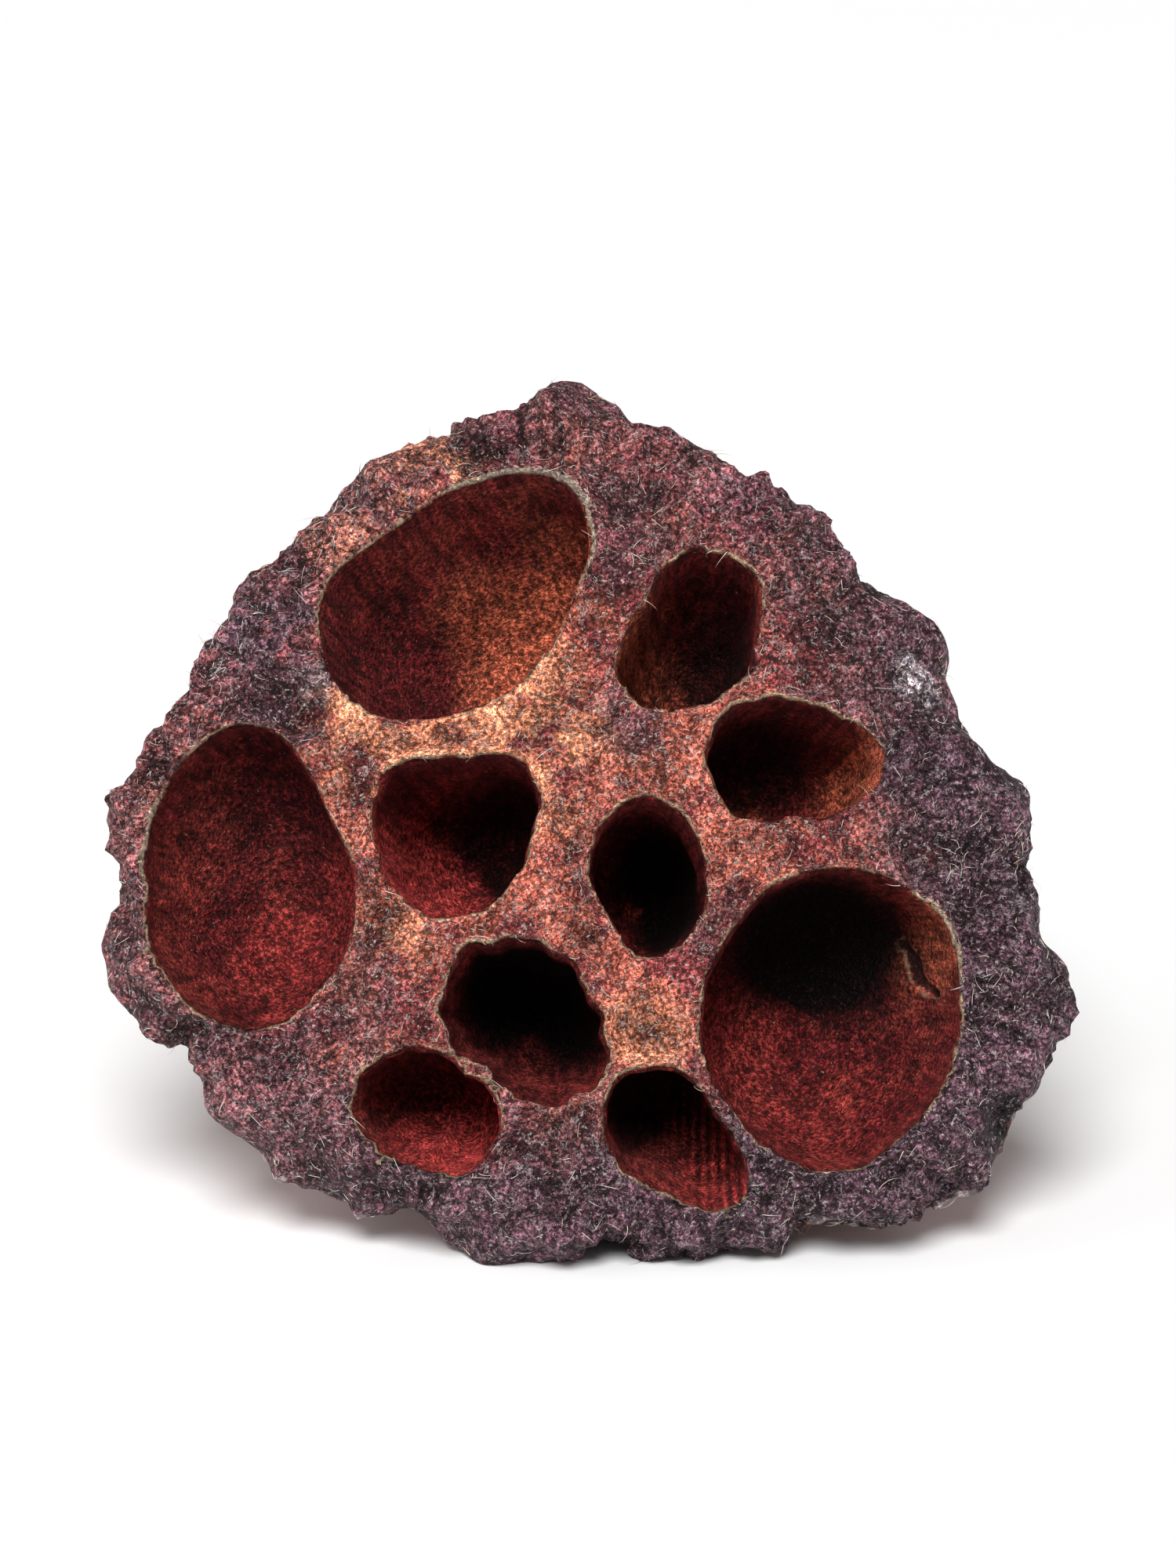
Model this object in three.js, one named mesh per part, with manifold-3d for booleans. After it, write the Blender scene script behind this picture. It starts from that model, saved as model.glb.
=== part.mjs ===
// Dried lotus pod: the woody seed head of a lotus with its seeds gone and its stem cut to a stub.
// It is built in its own frame, millimetres, with +Z out of the seed face, +X right and +Y up across it,
// and is then laid on its flank, where such a pod comes to rest, with the face turned to -Y and up.
import * as THREE from "three";
import { mergeVertices } from "three/addons/utils/BufferGeometryUtils.js";
import Module from "manifold-3d";

const wasm = await Module();
wasm.setup();

// Outline: radii of the widest girth at equal steps of angle, anticlockwise from +X, seen from the face.
const GIRTH_RADII = [
  35.8, 33, 32.8, 34.2, 37.5, 37.2, 35.7, 36.3,
  39.8, 40.2, 37.4, 36, 34.8, 36.8, 42, 41.5,
];
// How far the edge of the seed face stands in from that girth, at eight equal steps.
const EDGE_INSETS = [3.5, 3.2, 3.4, 3, 1.7, 5, 2.4, 4];
const RIM_DROP = 5; // the girth lies this far behind the edge of the face
const FACE_CROWN = 2.2; // rise of the face from its edge to its middle
const SWELL_HEIGHT = 0.5; // a slow swell across the face
const SWELL_TURNS = [0.13, 0.11]; // radians of that swell in a millimetre across and up
const POD_HEIGHT = 33; // from the edge of the face back to the stem

// The flank from the girth back to the stem: share of the radius, share of the depth.
const FLANK_PROFILE = [
  [1, 0], [0.92, 0.13], [0.84, 0.3], [0.745, 0.5], [0.657, 0.7],
  [0.575, 0.87], [0.5, 0.955], [0.35, 0.99], [0.2, 1], [0, 1],
];
const FOLD_COUNT = 13; // main folds that run from the stem to the rim
const FOLD_HEIGHT = 1.5; // half the height from a fold's crest to the groove beside it
const RIM_FOLD_SHARE = 0.7; // share of that height left at the rim
const GROUND_ANGLE = 1.5 * Math.PI; // the side of the flank that the pod lies on, with a groove in its middle

// Waves round the pod or the stub, each given by its count, size and phase.
const FOLD_WANDER = [[2, 0.7, 0.4], [5, 0.5, 2]];
const RIM_CRAGS = [[11, 0.35, 0], [17, 0.3, 4.1], [29, 0.25, 1.7]];
const STUB_RIPPLES = [[3, 0.35, 0], [7, 0.25, 0]];
const STUB_TEETH = [[2, 0.9, 1], [5, 0.5, 0]];
const CRAG_SLANT = 0.03; // turn of the crags from one row of the rim to the next, radians
const RIPPLE_TWIST = 1.3; // turn of the ripples from the foot of the stub to its end, radians

// The stub of the stem.
const STEM_RADIUS = 6.3;
const STUB_TIP_RADIUS = 4;
const STUB_LENGTH = 13;
const STUB_BEND = 1.2; // how far its end stands off to +X
const STUB_HOLLOW = 1.6; // depth of the hollow in its torn end
const STUB_GAP = 0.3; // clearance between the stub and the collar that it grew from

// Seed cavities: mouth centre, mouth radii at eight equal steps from +X, depth, and lean of the bottom.
const CAVITIES = [
  { at: [-11.4, 19.3], radii: [9.6, 13.4, 9.2, 7.9, 11, 12, 9.7, 8.8], depth: 16, lean: [5, -3.5] },
  { at: [8.3, 16.4], radii: [5.2, 7, 7.1, 4.8, 5.4, 7.7, 6.3, 5.6], depth: 17, lean: [-0.5, -2.5] },
  { at: [16.4, 5.5], radii: [7.5, 5.5, 5, 6.4, 6.9, 6.4, 4.7, 5.7], depth: 16, lean: [-3, -0.5] },
  { at: [-28.7, -4.6], radii: [9, 9.2, 13.2, 9.7, 8, 9.6, 11.9, 10.5], depth: 13, lean: [2.5, 1] },
  { at: [-11.4, -0.4], radii: [6.4, 7.8, 5.9, 7.4, 6.5, 6.8, 7.3, 6.3], depth: 18, lean: [2, 0.5] },
  { at: [4.6, -4.3], radii: [4.5, 5, 6.4, 5.5, 4.7, 4.6, 6.5, 5.4], depth: 20, lean: [-0.5, 1] },
  { at: [19.6, -15.8], radii: [10.3, 12, 12.2, 10.8, 10.7, 11.3, 12.4, 10.6], depth: 17, lean: [-3, 4] },
  { at: [-5.7, -16.3], radii: [6.3, 5.8, 6.8, 7.3, 6.5, 4.9, 6.1, 7.8], depth: 18, lean: [1, 2.5] },
  { at: [-13.7, -23.6], radii: [6, 4.6, 5, 5.7, 5.8, 4.5, 4.6, 6], depth: 14, lean: [1.5, 3] },
  { at: [6.8, -26], radii: [4.7, 3.9, 5.8, 6.8, 5.6, 4.4, 4.5, 7.1], depth: 15, lean: [-0.5, 4.5] },
];
const CAVITY_FLATNESS = 2.6; // exponent of a cavity's profile: more gives a flatter bottom
const CAVITY_STEEPNESS = 0.55; // exponent of a cavity's profile: less gives steeper walls
const MOUTH_FLARE = 1.04; // a cutter is this much wider above the face, so the mouth has a splayed edge
const CUTTER_TOP = 6; // how far a cutter stands out of the face

// How the pod lies: turn of the face's normal up from level, and the depth of the worn spots it lies on.
const FACE_ELEVATION = THREE.MathUtils.degToRad(31);
const WORN_DEPTH = 0.6;

// Mesh fineness.
const POD_SIDES = 108;
const FACE_RINGS = [0, 0.3, 0.55, 0.78, 0.93, 1];
const RIM_RINGS = 4;
const FLANK_RINGS = 11;
const CAVITY_SIDES = 20;
const CAVITY_RINGS = 7;
const STUB_SIDES = 20;
const STUB_RINGS = 6;
const MERGE_DISTANCE = 1e-4;

// A smooth closed curve through values that stand at equal steps of angle.
function around(values, angle) {
  const n = values.length;
  const place = ((angle / (2 * Math.PI)) % 1 + 1) % 1 * n;
  const i = Math.floor(place);
  const at = (k) => values[(i + k + n) % n];
  const f = place - i;
  const slopeIn = (at(1) - at(-1)) / 2;
  const slopeOut = (at(2) - at(0)) / 2;
  const rise = at(1) - at(0);
  const bend = 3 * rise - 2 * slopeIn - slopeOut;
  const twist = slopeIn + slopeOut - 2 * rise;
  return at(0) + f * (slopeIn + f * (bend + f * twist));
}

function waves(list, angle) {
  return list.reduce((sum, [count, size, phase]) => sum + size * Math.sin(count * angle + phase), 0);
}

// Broad folds with narrow grooves between them, from -1.2 in a groove to 0.6 on a crest.
function fold(angle) {
  const wander = waves(FOLD_WANDER, angle) - waves(FOLD_WANDER, GROUND_ANGLE);
  const wave = -Math.cos(FOLD_COUNT * (angle - GROUND_ANGLE) + wander);
  return 0.6 * wave - 0.6 * Math.exp(-3 * (1 + wave));
}

// The face: a low crown with a slow swell across it.
function faceHeight(x, y, share) {
  const swell = Math.sin(SWELL_TURNS[0] * x + 0.6) * Math.cos(SWELL_TURNS[1] * y - 0.4);
  return FACE_CROWN * (1 - share * share) + SWELL_HEIGHT * swell;
}

// Points of the pod's surface at one angle, from the stem round the rim to the middle of the face.
const flank = new THREE.SplineCurve(FLANK_PROFILE.map((p) => new THREE.Vector2(...p)));
function meridian(angle) {
  const girth = around(GIRTH_RADII, angle);
  const edge = girth - around(EDGE_INSETS, angle);
  const edgeHeight = faceHeight(edge * Math.cos(angle), edge * Math.sin(angle), 1);
  const points = [];
  const put = (r, z) => points.push(new THREE.Vector3(r * Math.cos(angle), r * Math.sin(angle), z));

  for (const share of FACE_RINGS) {
    const r = share * edge;
    put(r, faceHeight(r * Math.cos(angle), r * Math.sin(angle), share));
  }
  for (let k = 1; k <= RIM_RINGS; k++) {
    const share = k / RIM_RINGS;
    const out = Math.sin(share * Math.PI / 2);
    const back = 1 - Math.cos(share * Math.PI / 2);
    const crag = waves(RIM_CRAGS, angle + CRAG_SLANT * k);
    const rough = crag + RIM_FOLD_SHARE * FOLD_HEIGHT * fold(angle) * out * out;
    put(edge + (girth - edge) * out + rough, edgeHeight * (1 - share) - RIM_DROP * back);
  }
  for (let k = 1; k <= FLANK_RINGS; k++) {
    const t = k / FLANK_RINGS;
    const share = flank.getPoint(t);
    const growth = Math.min(1, RIM_FOLD_SHARE + 2 * t) * (1 - t * t);
    const r = k === FLANK_RINGS ? 0 : share.x * girth + FOLD_HEIGHT * fold(angle) * growth;
    put(r, -RIM_DROP - (POD_HEIGHT - RIM_DROP) * share.y);
  }
  return points.reverse();
}

// A lathe whose profile is drawn anew at each angle. The drawing function gives as many points every time.
function shapedLathe(sides, draw) {
  const first = draw(0);
  const profile = first.map((p) => new THREE.Vector2(Math.hypot(p.x, p.y), p.z));
  const lathe = new THREE.LatheGeometry(profile, sides);
  const position = lathe.getAttribute("position");
  for (let side = 0; side <= sides; side++) {
    const points = draw(((side % sides) / sides) * 2 * Math.PI);
    points.forEach((p, row) => position.setXYZ(side * first.length + row, p.x, p.y, p.z));
  }
  return lathe;
}

// A cutter in the form of one seed cavity, rounded at its bottom and standing out of the face at its top.
function cavityCutter({ at, radii, depth, lean }) {
  return shapedLathe(CAVITY_SIDES, (angle) => {
    const mouth = around(radii, angle);
    const points = [];
    const put = (shift, width, z) => {
      const x = at[0] + lean[0] * shift + width * Math.cos(angle);
      const y = at[1] + lean[1] * shift + width * Math.sin(angle);
      points.push(new THREE.Vector3(x, y, z));
    };
    for (let k = 0; k <= CAVITY_RINGS; k++) {
      const down = Math.cos((k / CAVITY_RINGS) * (Math.PI / 2)); // 1 at the bottom, 0 at the mouth
      const width = Math.pow(1 - Math.pow(down, CAVITY_FLATNESS), CAVITY_STEEPNESS) * mouth;
      put(down, width, -depth * down);
    }
    put(0, MOUTH_FLARE * mouth, CUTTER_TOP);
    put(0, 0, CUTTER_TOP);
    return points;
  });
}

// The stub: a tapering stump of stem, a little bent, with a torn end.
function stubGeometry() {
  return shapedLathe(STUB_SIDES, (angle) => {
    const points = [new THREE.Vector3(0, 0, 0)];
    for (let k = 0; k <= STUB_RINGS; k++) {
      const t = k / STUB_RINGS;
      const taper = STEM_RADIUS + (STUB_TIP_RADIUS - STEM_RADIUS) * t;
      const r = taper + waves(STUB_RIPPLES, angle + RIPPLE_TWIST * t) * t;
      const torn = k === STUB_RINGS ? waves(STUB_TEETH, angle) : 0;
      const x = r * Math.cos(angle) + STUB_BEND * t * t;
      points.push(new THREE.Vector3(x, r * Math.sin(angle), STUB_LENGTH * t + torn));
    }
    points.push(new THREE.Vector3(STUB_BEND, 0, STUB_LENGTH - STUB_HOLLOW));
    return points;
  });
}

// A closed geometry as a solid: shared vertices are merged and collapsed faces dropped.
function solidOf(geometry) {
  const bare = new THREE.BufferGeometry().setAttribute("position", geometry.getAttribute("position"));
  const merged = mergeVertices(bare.setIndex(geometry.getIndex()), MERGE_DISTANCE);
  const corners = merged.getIndex().array;
  const kept = [];
  for (let i = 0; i < corners.length; i += 3) {
    const [a, b, c] = corners.subarray(i, i + 3);
    if (a !== b && b !== c && c !== a) kept.push(a, b, c);
  }
  const vertProperties = merged.getAttribute("position").array;
  return new wasm.Manifold(new wasm.Mesh({ numProp: 3, vertProperties, triVerts: Uint32Array.from(kept) }));
}

function geometryOf(solid) {
  const { vertProperties, triVerts } = solid.getMesh();
  return new THREE.BufferGeometry()
    .setAttribute("position", new THREE.BufferAttribute(vertProperties, 3))
    .setIndex(new THREE.BufferAttribute(triVerts, 1));
}

// The frame of the pod, turned so that it lies on its flank.
const podFrame = new THREE.Group();
podFrame.rotation.x = Math.PI / 2 - FACE_ELEVATION;
podFrame.updateMatrix();

// The receptacle: the shaped lathe, its cavities cut out, and the spots worn flat where it lies.
function receptacleGeometry() {
  let solid = solidOf(shapedLathe(POD_SIDES, meridian));
  for (const cavity of CAVITIES) solid = solid.subtract(solidOf(cavityCutter(cavity)));
  const laid = geometryOf(solid).applyMatrix4(podFrame.matrix);
  laid.computeBoundingBox();
  const slabSize = 4 * POD_HEIGHT;
  const slab = new THREE.BoxGeometry(slabSize, slabSize, slabSize);
  slab.translate(0, 0, laid.boundingBox.min.z + WORN_DEPTH - slabSize / 2);
  slab.applyMatrix4(podFrame.matrix.clone().invert());
  return geometryOf(solid.subtract(solidOf(slab)));
}

const husk = new THREE.MeshStandardMaterial({ color: 0x5f3a30, roughness: 0.85, metalness: 0 });
const pith = new THREE.MeshStandardMaterial({ color: 0xb08a5e, roughness: 0.95, metalness: 0 });

const receptacle = new THREE.Mesh(receptacleGeometry(), husk);
receptacle.name = "receptacle";

const stub = new THREE.Mesh(stubGeometry(), pith);
stub.name = "stem_stub";
stub.rotation.x = Math.PI;
stub.position.z = -POD_HEIGHT - STUB_GAP;

podFrame.add(receptacle, stub);

// Origin: on the ground, under the middle of the pod.
const lotusPod = new THREE.Group();
lotusPod.add(podFrame);
const extent = new THREE.Box3().setFromObject(lotusPod, true);
const middle = extent.getCenter(new THREE.Vector3());
podFrame.position.set(-middle.x, -middle.y, -extent.min.z);

export default lotusPod;
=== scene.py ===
# Dresses the dried lotus pod: its husk with the empty seed cavities, the stump of its stem and the loose
# fibres that cling to it, laid on a pale floor. The pod's own frame is in millimetres, with +Z out of the
# seed face, +X right and +Y up across it.
import functools
import math

import bpy
import numpy as np
from bpy.props import FloatProperty, FloatVectorProperty, IntProperty, PointerProperty
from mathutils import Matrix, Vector, noise


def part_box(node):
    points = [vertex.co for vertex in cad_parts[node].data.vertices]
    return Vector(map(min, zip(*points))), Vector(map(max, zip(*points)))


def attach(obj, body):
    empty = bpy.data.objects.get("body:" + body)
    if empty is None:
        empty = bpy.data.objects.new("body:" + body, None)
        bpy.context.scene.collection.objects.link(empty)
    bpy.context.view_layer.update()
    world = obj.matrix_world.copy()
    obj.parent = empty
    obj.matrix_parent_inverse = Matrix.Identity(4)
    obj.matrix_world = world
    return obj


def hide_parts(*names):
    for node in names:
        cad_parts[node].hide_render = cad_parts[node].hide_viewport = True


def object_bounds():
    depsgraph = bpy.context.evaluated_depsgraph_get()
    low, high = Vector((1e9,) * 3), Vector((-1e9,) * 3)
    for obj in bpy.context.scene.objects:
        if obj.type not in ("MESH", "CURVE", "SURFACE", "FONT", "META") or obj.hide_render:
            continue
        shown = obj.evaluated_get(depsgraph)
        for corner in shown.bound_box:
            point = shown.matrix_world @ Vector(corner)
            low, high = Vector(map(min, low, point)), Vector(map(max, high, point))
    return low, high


bl_info = {
    "name": "Dried Lotus Pod",
    "version": (1, 0, 0),
    "blender": (4, 5, 0),
    "location": "View3D > Sidebar > Lotus Pod",
    "description": "Models a dried lotus pod over its solids and lays it on a pale floor",
    "category": "Add Mesh",
}

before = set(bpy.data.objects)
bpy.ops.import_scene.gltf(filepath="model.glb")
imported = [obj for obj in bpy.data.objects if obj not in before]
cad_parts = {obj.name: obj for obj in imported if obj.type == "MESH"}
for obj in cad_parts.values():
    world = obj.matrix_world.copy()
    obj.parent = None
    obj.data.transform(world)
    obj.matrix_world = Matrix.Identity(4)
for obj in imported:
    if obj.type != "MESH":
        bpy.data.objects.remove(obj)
CAD_BOX = [list(corner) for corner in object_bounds()]
HUSK_BOX = [np.array(corner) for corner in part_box("receptacle")]

MM = 0.001
TAU = 2 * math.pi

# Outline of the pod: radii of the widest girth, and how far the face's edge stands in from it.
GIRTH_RADII = [
    35.8, 33, 32.8, 34.2, 37.5, 37.2, 35.7, 36.3,
    39.8, 40.2, 37.4, 36, 34.8, 36.8, 42, 41.5,
]
EDGE_INSETS = [3.5, 3.2, 3.4, 3, 1.7, 5, 2.4, 4]
RIM_DROP = 5
FACE_CROWN = 2.2
SWELL_HEIGHT = 0.5
SWELL_TURNS = (0.13, 0.11)
POD_HEIGHT = 33
FACE_ELEVATION = math.radians(31)

# Flank: its profile as shares of radius and depth, and the folds that run down it.
FLANK_PROFILE = [
    (1, 0), (0.92, 0.13), (0.84, 0.3), (0.745, 0.5), (0.657, 0.7),
    (0.575, 0.87), (0.5, 0.955), (0.35, 0.99), (0.2, 1), (0, 1),
]
FOLD_COUNT = 13
FOLD_HEIGHT = 1.5
RIM_FOLD_SHARE = 0.7
GROUND_ANGLE = 1.5 * math.pi
FOLD_WANDER = [(2, 0.7, 0.4), (5, 0.5, 2)]
RIM_CRAGS = [(11, 0.35, 0), (17, 0.3, 4.1), (29, 0.25, 1.7)]
CRAG_SLANT = 0.12

# Seed cavities: mouth centre, depth, lean of the bottom, how dark painted shade with some real staining makes
# the deep and sheltered walls, on which side in degrees and how far up the wall, how uneven the mouth is, and
# its radii at eight equal steps from +X.
CAVITIES = [
    {"at": (-11.4, 19.3), "depth": 16, "lean": (5, -3.5), "shade_and_stain": (0.0, 100, 0),
     "ragged": 0.1, "radii": (9.6, 13.4, 9.2, 7.9, 11, 12, 9.7, 8.8)},
    {"at": (8.3, 16.4), "depth": 17, "lean": (-0.5, -2.5), "shade_and_stain": (0.85, -10, 0),
     "ragged": 0.16, "radii": (5.2, 7, 7.1, 4.8, 5.4, 7.7, 6.3, 5.6)},
    {"at": (16.4, 5.5), "depth": 16, "lean": (-3, -0.5), "shade_and_stain": (0.8, 110, 0),
     "ragged": 0.16, "radii": (7.5, 5.5, 5, 6.4, 6.9, 6.4, 4.7, 5.7)},
    {"at": (-28.7, -4.6), "depth": 13, "lean": (2.5, 1), "shade_and_stain": (0.2, 80, 0),
     "ragged": 0.1, "radii": (9, 9.2, 13.2, 9.7, 8, 9.6, 11.9, 10.5)},
    {"at": (-11.4, -0.4), "depth": 18, "lean": (2, 0.5), "shade_and_stain": (0.85, 30, -0.05),
     "ragged": 0.14, "radii": (6.4, 7.8, 5.9, 7.4, 6.5, 6.8, 7.3, 6.3)},
    {"at": (4.6, -4.3), "depth": 20, "lean": (-0.5, 1), "shade_and_stain": (1, 15, 0.05),
     "ragged": 0.08, "radii": (4.5, 5, 6.4, 5.5, 4.7, 4.6, 6.5, 5.4)},
    {"at": (19.6, -15.8), "depth": 17, "lean": (-3, 4), "shade_and_stain": (1, 72, -0.16),
     "ragged": 0.12, "radii": (10.3, 12, 12.2, 10.8, 10.7, 11.3, 12.4, 10.6)},
    {"at": (-5.7, -16.3), "depth": 18, "lean": (1, 2.5), "shade_and_stain": (1, 75, 0.2),
     "ragged": 0.32, "radii": (6.3, 5.8, 6.8, 7.3, 6.5, 4.9, 6.1, 7.8)},
    {"at": (-13.7, -23.6), "depth": 14, "lean": (1.5, 3), "shade_and_stain": (0.5, 120, -0.1),
     "ragged": 0.16, "radii": (6, 4.6, 5, 5.7, 5.8, 4.5, 4.6, 6)},
    {"at": (6.8, -26), "depth": 15, "lean": (-0.5, 4.5), "shade_and_stain": (0.9, 130, 0.05),
     "ragged": 0.14, "radii": (4.7, 3.9, 5.8, 6.8, 5.6, 4.4, 4.5, 7.1)},
]
CAVITY_FLATNESS = 2.6
CAVITY_STEEPNESS = 0.55
MOUTH_FLARE = 1.04
MOUTH_WAVES = [(5, 0.6, 0), (9, 0.7, 1.3), (15, 0.6, 4)]
CUTTER_TOP = 6
DEPTH_SLACK = 1.04

# Stub of the stem.
STEM_RADIUS = 6.3
STUB_TIP_RADIUS = 4
STUB_LENGTH = 13
STUB_BEND = 1.2
STUB_ROOT = 0.7
STUB_RIPPLES = [(3, 0.35, 0), (7, 0.25, 0)]
STUB_TEETH = [(2, 0.9, 1), (5, 0.5, 0)]
RIPPLE_TWIST = 1.3

# Places that differ from the rest of the face, as centre, radius and strength.
ORANGE_SPOTS = [
    (-14, 30.5, 5, 0.9), (-17, 8.5, 7, 0.9), (-7, 7.5, 8, 1), (4, -17, 4, 0.8), (-16, -9, 3, 0.6),
    (-21.5, 24.5, 4, 0.45),
]
VIOLET_SPOTS = [
    (-25, 11, 5, 0.9), (-27, 17, 5, 1), (27, 5, 6, 1), (3.5, 9, 3.5, 0.8), (-19, -13.5, 4.5, 0.5),
    (10, -8.5, 4, 0.6), (3, 25, 6, 0.6),
]
BLOOM_SPOTS = [(27.5, 13.5, 3.2, 1), (-22.5, 12.3, 1.5, 0.5), (36, -5, 2.5, 0.5)]
LIP_SPOTS = [(-9, 33, 6, 1), (-2, 30, 6, 1), (1, 24, 4, 0.8), (-36, -1, 4, 0.6), (30, -8, 4, 0.6)]
TUFT_SPOTS = [(36, -1.3, 2.5, 1), (-31, 14, 3, 1), (30, -3, 3, 0.6), (33, -14, 3, 0.5), (4, 23, 1.5, 0.8)]
NOTCH_SPOTS = [(18, -34, 2.2, 1), (35.8, -23.5, 2, 0.8), (-33.5, -17, 2, 0.6), (12.5, 32, 1.8, 0.7)]

# Marks on the walls of the cavities: a small hole, a torn crack, stains, a fold and ribs.
HOLE_SPOTS = [(-4.6, 15.6, 1.3, 1)]
STAIN_SPOTS = [(-24, -11.9, 2, 0.7), (-23, -10.5, 1.6, 0.7), (17.9, -21.2, 1.8, 0.7), (-28, 2, 3, 0.4)]
# Bright orange patches on the walls: partly the tissue's own orange, partly painted light where light falls
# on them.
LIT_ORANGE_SPOTS = [
    (-2.5, 18.5, 9, 0.9), (3.5, 14.5, 4.5, 0.7), (11.5, 2.5, 4, 0.6), (22, 5, 3.5, 0.8), (28.5, -9, 4, 0.6),
]
# Brighter red patches on the walls: partly the tissue's own red, partly painted light where light falls on
# them.
LIT_CRIMSON_SPOTS = [
    (-15.5, -3, 6, 1), (-12, -25, 5, 0.9), (19, -25, 8, 0.15), (1.5, -7.5, 3, 0.6),
    (-24, -9, 6, 0.3), (-2, -21, 5, 0.1), (10, -29, 4, 0.4), (11, -16, 5, 0.35),
]
CRACK_LINE = [(25.8, -7.8), (26.8, -9.2), (27.2, -10.8), (28.4, -12.6)]
RIDGED_CAVITY = 8
RIDGE_ANGLE = math.radians(250)
RIBBED_CAVITY = 9
RIB_SPACING = 0.8

# How finely the spheres are divided that the pieces start from, round the pole and down.
HUSK_GRID = (360, 200)
CUTTER_GRID = (96, 72)
STUB_GRID = (128, 96)

# Loose fibres: the seed of their random draw, cuts along each one, and the depth that its root is sunk.
FIBRE_SEED = 11
FIBRE_CUTS = 3
FIBRE_ROOT = 0.04 * MM

# Stage: places of the lights, and widths of the floor and of the camera's sensor.
KEY_PLACE = (-0.06, -0.42, 0.6)
KEY_SPREAD = math.radians(30)
SIDE_PLACE = (-0.45, -0.15, 0.3)
SIDE_WIDTH = 0.35
FLOOR_WIDTH = 6
SENSOR_WIDTH = 27


def around(values, angle):
    """A smooth closed curve through values that stand at equal steps of angle."""
    values = np.asarray(values, float)
    place = (angle / TAU) % 1 * len(values)
    first = np.floor(place).astype(int)
    f = place - first
    before, here, after, beyond = [values[(first + k) % len(values)] for k in (-1, 0, 1, 2)]
    slope_in = (after - before) / 2
    slope_out = (beyond - here) / 2
    rise = after - here
    bend = 3 * rise - 2 * slope_in - slope_out
    twist = slope_in + slope_out - 2 * rise
    return here + f * (slope_in + f * (bend + f * twist))


def along(points, share):
    """A smooth open curve through points, from 0 at the first to 1 at the last."""
    points = np.asarray(points, float)
    last = len(points) - 1
    place = np.clip(share, 0, 1) * last
    first = np.minimum(np.floor(place).astype(int), last - 1)
    f = (place - first)[:, None]
    before, here, after, beyond = [points[np.clip(first + k, 0, last)] for k in (-1, 0, 1, 2)]
    slope_in = (after - before) / 2
    slope_out = (beyond - here) / 2
    rise = after - here
    bend = 3 * rise - 2 * slope_in - slope_out
    twist = slope_in + slope_out - 2 * rise
    return here + f * (slope_in + f * (bend + f * twist))


def waves(listed, angle):
    return sum(size * np.sin(count * angle + phase) for count, size, phase in listed)


def smooth(low, high, value):
    """0 below low, 1 above high and a soft step between them."""
    t = np.clip((value - low) / (high - low), 0, 1)
    return t * t * (3 - 2 * t)


def noise_at(points, size, seed=0.0):
    """Soft noise from about -1 to 1, with bumps of about that size in millimetres."""
    places = (points / size + seed).tolist()
    return np.fromiter((noise.noise(p) for p in places), float, len(places))


def fold_wave(angle):
    wander = waves(FOLD_WANDER, angle) - waves(FOLD_WANDER, GROUND_ANGLE)
    return -np.cos(FOLD_COUNT * (angle - GROUND_ANGLE) + wander)


def fold(angle):
    """Broad folds with narrow grooves between them."""
    wave = fold_wave(angle)
    return 0.6 * wave - 0.6 * np.exp(-3 * (1 + wave))


def face_height(x, y, share):
    swell = np.sin(SWELL_TURNS[0] * x + 0.6) * np.cos(SWELL_TURNS[1] * y - 0.4)
    return FACE_CROWN * (1 - share * share) + SWELL_HEIGHT * swell


def edge_radius(angle):
    return around(GIRTH_RADII, angle) - around(EDGE_INSETS, angle)


def pod_point(angle, share):
    """The pod's surface before its cavities are cut, from the face's middle at 0 to the stem at 1."""
    face_end, rim_end = 0.38, 0.52
    girth = around(GIRTH_RADII, angle)
    edge = edge_radius(angle)
    edge_height = face_height(edge * np.cos(angle), edge * np.sin(angle), 1)

    across = np.clip(share / face_end, 0, 1)
    face_r = across * edge
    face_z = face_height(face_r * np.cos(angle), face_r * np.sin(angle), across)

    turn = np.clip((share - face_end) / (rim_end - face_end), 0, 1)
    out = np.sin(turn * math.pi / 2)
    back = 1 - np.cos(turn * math.pi / 2)
    crag = waves(RIM_CRAGS, angle + CRAG_SLANT * turn) * smooth(0, 0.25, turn)
    rim_r = edge + (girth - edge) * out + crag + RIM_FOLD_SHARE * FOLD_HEIGHT * fold(angle) * out * out
    rim_z = edge_height * (1 - turn) - RIM_DROP * back

    t = np.clip((share - rim_end) / (1 - rim_end), 0, 1)
    profile = along(FLANK_PROFILE, t)
    growth = np.minimum(1, RIM_FOLD_SHARE + 2 * t) * (1 - t * t)
    fading_crag = waves(RIM_CRAGS, angle + CRAG_SLANT) * (1 - smooth(0, 0.12, t))
    flank_r = profile[:, 0] * girth + FOLD_HEIGHT * fold(angle) * growth * smooth(1, 0.93, t) + fading_crag
    flank_z = -RIM_DROP - (POD_HEIGHT - RIM_DROP) * profile[:, 1]

    zones = [share <= face_end, share <= rim_end]
    radius = np.select(zones, [face_r, rim_r], flank_r)
    height = np.select(zones, [face_z, rim_z], flank_z)
    return np.stack([radius * np.cos(angle), radius * np.sin(angle), height], 1)


def cavity_width(down):
    """Share of the mouth's radius at a share of the depth."""
    return (1 - np.clip(down, 0, 1) ** CAVITY_FLATNESS) ** CAVITY_STEEPNESS


def cavity_mouth(cavity, angle):
    """Radius of a cavity's mouth, a little uneven, and ragged where its lip is torn."""
    return around(cavity["radii"], angle) + cavity["ragged"] * waves(MOUTH_WAVES, angle + cavity["at"][0])


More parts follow.
